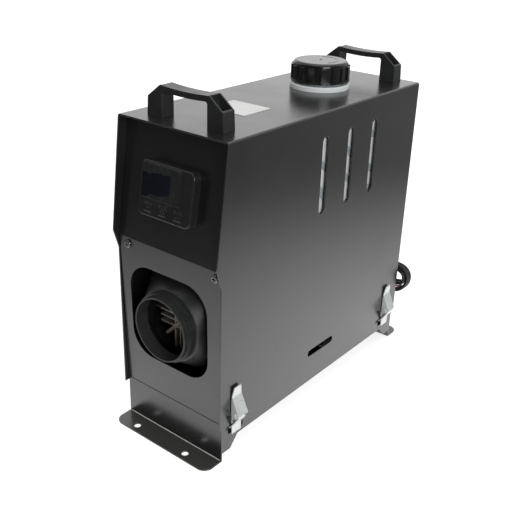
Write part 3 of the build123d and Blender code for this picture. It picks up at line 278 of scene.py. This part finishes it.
def cast_aluminium():
    """Beige-grey die casting with a sandy skin and cloudy heat-darkened patches."""
    s = Shade("cast_aluminium")
    clouds = s.noise(0.012, 5.0, 0.65)
    colour = s.mix(s.fit(clouds, 0.3, 0.75), (0.30, 0.26, 0.22), (0.62, 0.56, 0.49))
    normal = s.bump(s.noise(0.0009, 3.0, 0.6), 0.00012, s.rounded(0.0006))
    s.set(Base_Color=colour, Metallic=0.55, Roughness=s.fit(clouds, 0.3, 0.7, 0.48, 0.62), Normal=normal)
    return s.material


def gloss_film(name, dark, light, rough=0.12, ior=1.5):
    """Glossy film or glass over something dark, with faint smears."""
    s = Shade(name)
    smear = s.noise(0.010, 4.0, 0.6, s.stretched((1.0, 1.0, 0.5)))
    s.set(Base_Color=s.mix(s.fit(smear, 0.35, 0.7), dark, light),
          Roughness=s.fit(smear, 0.3, 0.8, rough, rough + 0.12), IOR=ior,
          Normal=s.bump(s.noise(0.004, 2.0), 0.00001, s.rounded(0.0003)))
    return s.material


def circuit_board():
    """Green solder mask with lighter tracks."""
    s = Shade("circuit_board")
    tracks = s.fit(s.cells(0.002, "DISTANCE_TO_EDGE"), 0.05, 0.12)
    s.set(Base_Color=s.mix(tracks, (0.16, 0.36, 0.14), (0.03, 0.14, 0.05)), Roughness=0.35,
          Normal=s.bump(tracks, 0.00003))
    return s.material


def heated_steel():
    """Bare steel with brown heat tints."""
    s = Shade("heated_steel")
    clouds = s.noise(0.02, 4.0, 0.6)
    s.set(Base_Color=s.mix(s.fit(clouds, 0.3, 0.7), (0.24, 0.17, 0.12), (0.46, 0.42, 0.38)), Metallic=1.0,
          Roughness=s.fit(clouds, 0.2, 0.8, 0.3, 0.5),
          Normal=s.bump(s.noise(0.001), 0.00002, s.rounded(0.0004)))
    return s.material


# ---- finishes ----
CASE_DARK = (0.0105, 0.0105, 0.0100)
CASE_LIGHT = (0.0155, 0.0155, 0.0150)

FINISH = {
    "case_paint": powder_coat("case_paint", CASE_DARK, CASE_LIGHT),
    "zinc": bright_zinc(),
    "galvanised": plated_sheet("galvanised", (0.42, 0.44, 0.46), (0.66, 0.68, 0.69), 0.3, 0.45),
    "tank_plastic": tank_plastic(),
    "white_plastic": plastic("white_plastic", (0.84, 0.88, 0.89), (0.92, 0.94, 0.94), 0.38),
    "black_plastic": plastic("black_plastic", (0.016, 0.016, 0.017), (0.026, 0.026, 0.027), 0.42),
    "black_gloss": gloss_film("black_gloss", (0.020, 0.021, 0.022), (0.030, 0.031, 0.032), 0.22),
    "rubber": plastic("rubber", (0.012, 0.012, 0.012), (0.022, 0.022, 0.022), 0.62),
    "hose_rubber": plastic("hose_rubber", (0.02, 0.05, 0.03), (0.03, 0.08, 0.05), 0.45),
    "cord_rubber": plastic("cord_rubber", (0.012, 0.012, 0.013), (0.024, 0.024, 0.025), 0.48,
                           grain=0.0008, depth=0.00004),
    "label_film": plastic("label_film", (0.70, 0.70, 0.69), (0.80, 0.80, 0.79), 0.6, depth=0.00001),
    "cast_aluminium": cast_aluminium(),
    "machined_steel": plated_sheet("machined_steel", (0.50, 0.50, 0.50), (0.68, 0.68, 0.67), 0.25, 0.36),
    "hot_steel": heated_steel(),
    "board": circuit_board(),
    "display_glass": gloss_film("display_glass", (0.010, 0.016, 0.030), (0.018, 0.030, 0.052), 0.10),
}
# The tray's faces that look up are painted lighter grey.
TRAY_PAINT = powder_coat("tray_paint", CASE_DARK, CASE_LIGHT, 0.20)
# The handles' edges, the pocket rims most, are painted much lighter: scuffs, and a painted highlight on the
# rims.
HANDLE_PLASTIC = plastic("handle_plastic", (0.018, 0.019, 0.020), (0.032, 0.033, 0.034), 0.36, grain=0.0004,
                         depth=0.00005, edge_wear_and_highlight=0.9)
CAP_PLASTIC = plastic("cap_plastic", (0.010, 0.010, 0.010), (0.018, 0.018, 0.018), 0.15, depth=0.000005)
DUCT_PLASTIC = plastic("duct_plastic", (0.018, 0.019, 0.019), (0.034, 0.035, 0.035), 0.40, depth=0.00005)
CONTROLLER_PLASTIC = plastic("controller_plastic", (0.017, 0.017, 0.017), (0.024, 0.024, 0.024), 0.20,
                             depth=0.00001, edge=0.0022, edge_wear_and_highlight=0.05)
SCREW_BLACK = gloss_film("screw_black", (0.006, 0.006, 0.006), (0.014, 0.014, 0.014), 0.10, ior=2.3)
NODE_FINISH = {"handle_front": HANDLE_PLASTIC, "handle_rear": HANDLE_PLASTIC, "filler_cap": CAP_PLASTIC,
               "outlet_duct": DUCT_PLASTIC, "outlet_hood": DUCT_PLASTIC, "case_screws": SCREW_BLACK,
               "base_tray": TRAY_PAINT, "controller_front": CONTROLLER_PLASTIC,
               "controller_back": CONTROLLER_PLASTIC, "key_left": CONTROLLER_PLASTIC,
               "key_middle": CONTROLLER_PLASTIC, "key_right": CONTROLLER_PLASTIC}

for part in frame["record"]["subparts"]:
    node = NODES[part["node"]]
    finish = NODE_FINISH.get(part["node"], FINISH[part["material_slot"]])
    if not node.material_slots:
        node.data.materials.append(finish)
    for place in node.material_slots:
        place.material = finish


# ---- helpers for pieces ----
def add_piece(name, data, body, finish):
    """Put a mesh or curve in the scene with its finish, on the body that carries it."""
    data.materials.append(finish)
    piece = bpy.data.objects.new(name, data)
    bpy.context.scene.collection.objects.link(piece)
    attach(piece, body)
    return piece


def spline_tube(name, points, radius):
    """A round tube along one NURBS spline with these control points, in millimetres."""
    data = bpy.data.curves.new(name, "CURVE")
    data.dimensions = "3D"
    spline = data.splines.new("NURBS")
    spline.points.add(len(points) - 1)
    for point, place in zip(spline.points, points):
        point.co = (*(value * MM for value in place), 1.0)
    spline.order_u = 3
    spline.use_endpoint_u = True
    spline.resolution_u = 8
    data.bevel_depth = radius * MM
    data.bevel_resolution = 5
    data.use_fill_caps = True
    return data


# ---- power cord ----
CORD = 5.2
CORD_EXIT = (-14.0, 200.5, 105.5)
RED_WIRE = 2.2
RED_CORE = [(14, 201.6, 68.8), (30, 201.6, 70.1), (48, 201.4, 71.2), (60, 201.1, 72.2), (67, 201, 72.9),
            (71.5, 201, 73.6), (75, 201, 76.5)]
CORD_LEAD = [CORD_EXIT, (-6, 200.5, 105.5), (2, 201.4, 105.6), (9.4, 202.9, 105.8)]
CORD_TAIL = [(38, 198.2, 63.8), (20, 198.3, 63.8), (8, 200, 52.8), (6, 200.5, 36.8)]
WIDE_TURN = [(28, 105.8), (50, 106.2), (68, 106.2), (78, 102.8), (84, 95), (84.2, 85), (79.5, 75.5),
             (70.5, 68), (57, 64.6), (36, 64.4), (16, 64.6), (1, 65), (-8, 70), (-11.2, 79), (-9.8, 88.5),
             (-4, 95.5), (7, 99.2)]
NARROW_TURN = [(28, 100.2), (47, 100.7), (62, 100.9), (72.5, 98.9), (78.3, 93.4), (78.8, 87),
               (75.6, 81.6), (67, 79.4), (52, 79), (36, 77.6), (19, 76), (6, 75), (-1.8, 78),
               (-4.3, 83.5), (-0.5, 91), (9, 95.3)]
NEAR_NARROW_TURN = [(27, 98.2), (46, 99.8), (62, 100.9), (72.5, 98.9), (78.3, 93.4), (78.8, 85.6),
                    (75.4, 80.6), (67, 78.2), (52, 77.1), (36, 75.9), (19, 74.6), (4, 73.6), (-5.5, 76.6),
                    (-9.3, 84), (-7, 93), (1.5, 98.7)]
FAR_LAYER = 203.8
NEAR_LAYER = 198.2
LOWEST_TURN = 63.8
LAST_WIDE_POINTS = 9
CHANGE_POINTS = 4


def hank_turns():
    """A wide and a narrow turn in the far layer, then the same in the near one, out at the bottom."""
    points = [(x, FAR_LAYER, z) for x, z in WIDE_TURN]
    change = len(NARROW_TURN) - CHANGE_POINTS
    for number, (x, z) in enumerate(NARROW_TURN):
        share = max(0, number - change) / CHANGE_POINTS
        points.append((x, FAR_LAYER + share * (NEAR_LAYER - FAR_LAYER), z))
    points += [(x, NEAR_LAYER, z) for x, z in NEAR_NARROW_TURN]
    return points + [(x, NEAR_LAYER, max(LOWEST_TURN, z)) for x, z in WIDE_TURN[:LAST_WIDE_POINTS]]


def make_cord():
    """The wound-up power cord as one spline, and the red wire that shows between its turns."""
    cord_data = spline_tube("power_cord", CORD_LEAD + hank_turns() + CORD_TAIL, CORD / 2)
    cord = add_piece("power_cord", cord_data, "case", FINISH["cord_rubber"])
    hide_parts("cord_lead", "cord_hank", "cord_tail")
    red = plastic("red_insulation", (0.30, 0.015, 0.02), (0.42, 0.03, 0.035), 0.4)
    core = spline_tube("red_wire", RED_CORE, RED_WIRE / 2)
    wire = add_piece("red_wire", core, "case", red)


make_cord()


# ---- small pieces ----
CONTROLLER_LEAN = math.radians(9.3)
CONTROLLER_FACE = 12.5
WINDOW_FACE = 12.4
KEY_FACE = 12.8
KEY_MARK_RADIUS = 0.16
PICTURE_THICKNESS = 0.06
PICTURE_INSET = 0.4
LAMP_PLACE = (3.9, -12.2)
CONTROLLER_PLACE = (0.0, -176.1, 298.0)
ON_CONTROLLER = Matrix.Translation(Vector(CONTROLLER_PLACE) * MM) @ Matrix.Rotation(
    math.pi / 2 - CONTROLLER_LEAN, 4, "X")
CAP_MIDDLE = (-1.2, 74.8)
CAP_TOP = 397.6
CAP_RIDGE = 20.8
CAP_RIDGE_START = -32
CAP_RIDGE_END = 120
CAP_RIDGE_RADIUS = 0.38
LEG = 182.0
TRAY_SHEET = 1.5
ACROSS_TRAY = (-71.0, -40, 0, 40, 71.0)
FOLD_RADIUS = 0.55
FOLD_RAISE = 0.2
SEAM = 49.7
# Size and depth of the dark tube in the front seam, a painted shadow.
SEAM_SHADOW_RADIUS = 0.45
SEAM_SHADOW_DEPTH = 0.1


def slab(name, outline, low, high, place, inset):
    """A thin plate through these points, with its upper edge drawn in, moved by the place matrix."""
    shape = bmesh.new()
    middle = [sum(point[axis] for point in outline) / len(outline) for axis in (0, 1)]
    bottom = [shape.verts.new((x * MM, y * MM, low * MM)) for x, y in outline]
    top = []
    for x, y in outline:
        share = inset / math.hypot(x - middle[0], y - middle[1])
        top.append(shape.verts.new(((x + share * (middle[0] - x)) * MM, (y + share * (middle[1] - y)) * MM,
                                    high * MM)))
    for number in range(len(outline)):
        after = (number + 1) % len(outline)
        shape.faces.new((bottom[number], bottom[after], top[after], top[number]))
    shape.faces.new(top)
    shape.faces.new(bottom[::-1])
    bmesh.ops.recalc_face_normals(shape, faces=shape.faces)
    shape.transform(place)
    mesh = bpy.data.meshes.new(name)
    shape.to_mesh(mesh)
    shape.free()
    return mesh


def turned(name, profile, place, steps=24):
    """A turned shape from (radius, height) pairs in millimetres; it starts and ends on the axis."""
    shape = bmesh.new()
    tip, rings, foot = profile[0], profile[1:-1], profile[-1]
    loops = [[shape.verts.new((radius * MM * math.cos(math.tau * step / steps),
                               radius * MM * math.sin(math.tau * step / steps), height * MM))
              for step in range(steps)] for radius, height in rings]
    for first, second in zip(loops, loops[1:]):
        for step in range(steps):
            after = (step + 1) % steps
            shape.faces.new((first[step], first[after], second[after], second[step]))
    for (_, height), loop in ((tip, loops[0]), (foot, loops[-1])):
        end = shape.verts.new((0.0, 0.0, height * MM))
        for step in range(steps):
            shape.faces.new((end, loop[step], loop[(step + 1) % steps]))
    bmesh.ops.recalc_face_normals(shape, faces=shape.faces)
    for face in shape.faces:
        face.smooth = True
    shape.transform(place)
    mesh = bpy.data.meshes.new(name)
    shape.to_mesh(mesh)
    shape.free()
    return mesh


def on_controller(points, height):
    """Places on the controller, in millimetres of the part's frame."""
    return [tuple(value / MM for value in ON_CONTROLLER @ Vector((x * MM, y * MM, height * MM)))
            for x, y in points]


def ring_points(x, y, radius, start, end, steps):
    """Points on an arc round x, y, from one angle to the other in degrees."""
    angles = [math.radians(start + (end - start) * step / steps) for step in range(steps + 1)]
    return [(x + radius * math.cos(angle), y + radius * math.sin(angle)) for angle in angles]


def display_glow():
    """Dark blue screen picture, a little lighter to the right."""
    s = Shade("display_picture")
    clouds = s.noise(0.012, 3.0, 0.6)
    rightward = s.fit(s.axis("X"), -0.030, 0.006, 0.0, 0.7)
    share = s.math("ADD", rightward, s.fit(clouds, 0.3, 0.7, -0.2, 0.3), True)
    s.set(Base_Color=s.mix(share, (0.0030, 0.0035, 0.0060), (0.0040, 0.0075, 0.0180)),
          Roughness=s.fit(clouds, 0.3, 0.7, 0.16, 0.26), Normal=s.bump(clouds, 0.00001))
    return s.material


def dress_controller():
    """Dark display picture, generic marks on the three keys and a small status lamp."""
    picture = [(-33.6, 16.2), (-27.9, 16.6), (-24.4, 15), (-18, 17), (-8.5, 18.4), (-2.7, 17.6),
               (3, 19.2), (5.8, 16.8), (6.4, 8.8), (5.2, 0.3), (2.4, -3.1), (-5.4, -4.7), (-13.5, -5.6),
               (-20.9, -5.6), (-24.6, -8.8), (-31.4, -9.2), (-33.6, -8.4)]
    mesh = slab("display_picture", picture, WINDOW_FACE, WINDOW_FACE + PICTURE_THICKNESS, ON_CONTROLLER,
                PICTURE_INSET)
    add_piece("display_picture", mesh, "case", display_glow())
    mark = plastic("key_mark", (0.050, 0.051, 0.050), (0.085, 0.086, 0.084), 0.4)
    marks = {
        "key_left": [(-24.4, -18.6), (-21.6, -21.4), (-18.7, -18.2)],
        "key_middle": ring_points(-1, -19.6, 2.3, 60, 420, 14),
        "key_right": [(17, -21), (20, -17.8), (23, -21)],
    }
    for body, points in marks.items():
        data = spline_tube(f"mark_{body}", on_controller(points, KEY_FACE), KEY_MARK_RADIUS)
        add_piece(f"mark_{body}", data, body, mark)
    seat = Vector((*LAMP_PLACE, CONTROLLER_FACE)) * MM
    lens = turned("status_lamp", [(0.0, 0.32), (0.25, 0.30), (0.5, 0.18), (0.62, 0.04), (0.85, 0.03),
                                  (0.85, -0.05), (0.0, -0.05)], ON_CONTROLLER @ Matrix.Translation(seat))
    add_piece("status_lamp", lens, "case", mark)


def dress_cap():
    """Moulding marks on the filler cap: the rim of the mould's ejector and the gate in the middle."""
    circle = ring_points(*CAP_MIDDLE, CAP_RIDGE, CAP_RIDGE_START, CAP_RIDGE_END, 20)
    arc = spline_tube("cap_ridge", [(x, y, CAP_TOP - 0.1) for x, y in circle], CAP_RIDGE_RADIUS)
    add_piece("cap_ridge", arc, "cap", CAP_PLASTIC)
    seat = Vector((*CAP_MIDDLE, CAP_TOP)) * MM
    gate = turned("cap_gate", [(0.0, 0.05), (0.5, 0.1), (0.85, 0.35), (1.1, 0.4), (1.5, 0.25), (1.9, 0.0),
                               (1.9, -0.2), (0.0, -0.2)], Matrix.Translation(seat))
    add_piece("cap_gate", gate, "cap", CAP_PLASTIC)


def dress_tray():
    """A pale bead in the fold of each foot, a painted highlight along the fold, and a dark line above the
    front one, a painted shadow in the seam.
    """
    # Pale bead along each fold: a painted highlight where the inside of the bend catches the light.
    dust_and_highlight = plastic("fold_highlight", (0.60, 0.60, 0.57), (0.78, 0.78, 0.74), 0.6)
    for name, side in (("fold_front", -1), ("fold_rear", 1)):
        line = [(x, side * (LEG + FOLD_RAISE), TRAY_SHEET + FOLD_RAISE) for x in ACROSS_TRAY]
        add_piece(name, spline_tube(name, line, FOLD_RADIUS), "case", dust_and_highlight)
    # Dark tube in the seam between the front sheet and the tray: a painted shadow in the gap.
    seam_shadow_line = spline_tube("seam_shadow", [(x, SEAM_SHADOW_DEPTH - LEG, SEAM) for x in ACROSS_TRAY], SEAM_SHADOW_RADIUS)
    add_piece("seam_shadow", seam_shadow_line, "case", FINISH["rubber"])


dress_controller()
dress_cap()
dress_tray()


# ---- floor, backdrop and light ----
FLOOR_HALF = 30.0
FLOOR_MIDDLE = (0.03, 0.10)
FLOOR_LEFT_SCALE = 1.0
FLOOR_RIGHT_SCALE = 1.55
FLOOR_SCALE_BLEND = 0.05
FLOOR_NEAR = 0.15
FLOOR_FAR = 1.0
# Floor colour near the part, far behind it and elsewhere far out: a painted pool of light round the part.
FLOOR_NEAR_TONE = 0.80
FLOOR_FAR_TONE = 0.50
FLOOR_ROOM_TONE = 0.15
FAR_TONE_START = 0.5
FAR_TONE_FULL = 1.2
MIRRORED_GLOW = 1.0
SEEN_NEAR_GLOW = 0.70
SEEN_FAR_GLOW = 0.95
BACKDROP_SIDE = (-0.62, 0.784, 0.7)
BACKDROP_START = 0.05
BACKDROP_FULL = 0.60
BACKDROP = 1.0
ROOM = 0.03


def make_floor():
    """Pale floor that glows for camera rays, more so far out, and in reflections near the part."""
    mesh = bpy.data.meshes.new("floor")
    shape = bmesh.new()
    bmesh.ops.create_grid(shape, x_segments=1, y_segments=1, size=FLOOR_HALF)
    shape.to_mesh(mesh)
    shape.free()
    floor = bpy.data.objects.new("floor", mesh)
    bpy.context.scene.collection.objects.link(floor)
    s = Shade("floor")
    across = s.math("SUBTRACT", s.axis("X"), FLOOR_MIDDLE[0])
    along = s.math("SUBTRACT", s.axis("Y"), FLOOR_MIDDLE[1])
    stretch = s.fit(across, -FLOOR_SCALE_BLEND, FLOOR_SCALE_BLEND, FLOOR_LEFT_SCALE, FLOOR_RIGHT_SCALE)
    across = s.math("MULTIPLY", across, stretch)
    offset = s.add("ShaderNodeCombineXYZ", {0: across, 1: along}).outputs[0]
    distance = s.add("ShaderNodeVectorMath", {0: offset}, operation="LENGTH").outputs["Value"]
    near = s.fit(distance, FLOOR_NEAR, FLOOR_FAR, 1.0, 0.0)
    mirrored = s.math("MULTIPLY", s.add("ShaderNodeLightPath").outputs["Is Glossy Ray"],
                      s.math("MULTIPLY", near, MIRRORED_GLOW))
    seen = s.math("MULTIPLY", s.seen(), s.fit(near, 0.0, 1.0, SEEN_FAR_GLOW, SEEN_NEAR_GLOW))
    grain = s.fit(s.noise(0.6, 3.0), 0.3, 0.7, 0.97, 1.0)
    # The floor is painted light near the part and darker further out, darkest away from the back: a painted
    # pool of light for reflections and bounce light.
    far_tone = s.fit(s.axis("Y"), FAR_TONE_START, FAR_TONE_FULL, FLOOR_ROOM_TONE, FLOOR_FAR_TONE)
    tone = s.math("MULTIPLY", grain, s.fit(near, 0.0, 1.0, far_tone, FLOOR_NEAR_TONE))
    colour = s.add("ShaderNodeCombineColor", {0: tone, 1: tone, 2: tone}).outputs[0]
    s.set(Base_Color=colour, Roughness=0.9, Specular_IOR_Level=0.0, Emission_Color=(1.0, 1.0, 1.0),
          Emission_Strength=s.math("ADD", mirrored, seen))
    mesh.materials.append(s.material)


def make_world():
    """White backdrop behind and above the part, and a dark room on the camera's side of it."""
    world = bpy.data.worlds.new("world")
    bpy.context.scene.world = world
    world.use_nodes = True
    world.node_tree.nodes.clear()
    w = Nodes(world.node_tree)
    towards = w.add("ShaderNodeTexCoord").outputs["Generated"]
    facing = w.add("ShaderNodeVectorMath", {0: towards, 1: BACKDROP_SIDE}, operation="DOT_PRODUCT")
    backdrop = w.add("ShaderNodeMapRange", {"Value": facing.outputs["Value"], "From Min": BACKDROP_START,
                                            "From Max": BACKDROP_FULL, "To Min": ROOM, "To Max": BACKDROP},
                     clamp=True, interpolation_type="SMOOTHSTEP").outputs["Result"]
    back = w.add("ShaderNodeBackground", {"Strength": w.math("MAXIMUM", w.seen(), backdrop)})
    out = w.add("ShaderNodeOutputWorld")
    w.tree.links.new(back.outputs[0], out.inputs["Surface"])


def softbox(name, place, target, width, height, power):
    """A rectangular lamp at this place, turned towards its target."""
    data = bpy.data.lights.new(name, "AREA")
    data.shape = "RECTANGLE"
    data.size = width
    data.size_y = height
    data.energy = power
    lamp = bpy.data.objects.new(name, data)
    bpy.context.scene.collection.objects.link(lamp)
    lamp.location = place
    lamp.rotation_euler = (Vector(target) - Vector(place)).to_track_quat("-Z", "Y").to_euler()
    lamp.visible_camera = False


make_floor()
make_world()
softbox("overhead", (0.1, -0.1, 1.6), (0.0, 0.0, 0.2), 1.2, 1.2, 5.0)
softbox("behind", (-1.3, 1.45, 0.75), (0.0, 0.0, 0.38), 2.0, 1.2, 3.4)
softbox("right", (1.6, -0.9, 0.9), (0.0, 0.0, 0.15), 1.0, 1.0, 20.0)

bpy.context.scene.view_settings.view_transform = "Standard"
